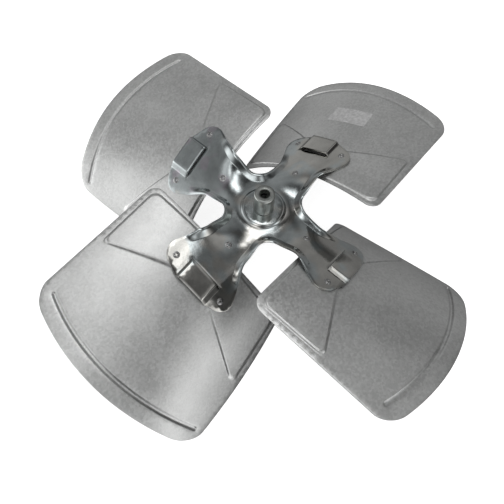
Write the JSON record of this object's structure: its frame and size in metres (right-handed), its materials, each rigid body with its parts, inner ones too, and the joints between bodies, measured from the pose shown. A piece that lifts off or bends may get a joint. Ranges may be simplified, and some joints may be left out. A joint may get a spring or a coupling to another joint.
{
  "type": "axial fan blade",
  "caption": "Axial fan blade: pitched, cambered sheet wings riveted under a stamped cross-shaped spider, carried by a turned hub with a plain shaft bore.",
  "frame": {"origin": "on the shaft axis, level with the four low blade corners that the part stands on", "axes": "+Z along the shaft axis towards the hub's nose, +X out along the middle of blade_1"},
  "size_m": [0.5588, 0.5588, 0.1259],
  "materials": {
    "galvanised_sheet": "satin, fine zinc spangle",
    "zinc_plated_steel": "glossy, smooth zinc plate",
    "turned_steel": "fine turned, zinc plated",
    "rivet_steel": "satin",
    "black_oxide_steel": "satin black oxide"
  },
  "bodies": {
    "root": {"spider": "zinc_plated_steel", "hub": "turned_steel", "set_screw": "black_oxide_steel", "blade_1": "galvanised_sheet", "blade_2": "galvanised_sheet", "blade_3": "galvanised_sheet", "blade_4": "galvanised_sheet", "rivet_1_high": "rivet_steel", "rivet_1_low": "rivet_steel", "rivet_1_inner": "rivet_steel", "rivet_2_high": "rivet_steel", "rivet_2_low": "rivet_steel", "rivet_2_inner": "rivet_steel", "rivet_3_high": "rivet_steel", "rivet_3_low": "rivet_steel", "rivet_3_inner": "rivet_steel", "rivet_4_high": "rivet_steel", "rivet_4_low": "rivet_steel", "rivet_4_inner": "rivet_steel"}
  },
  "joints": []
}
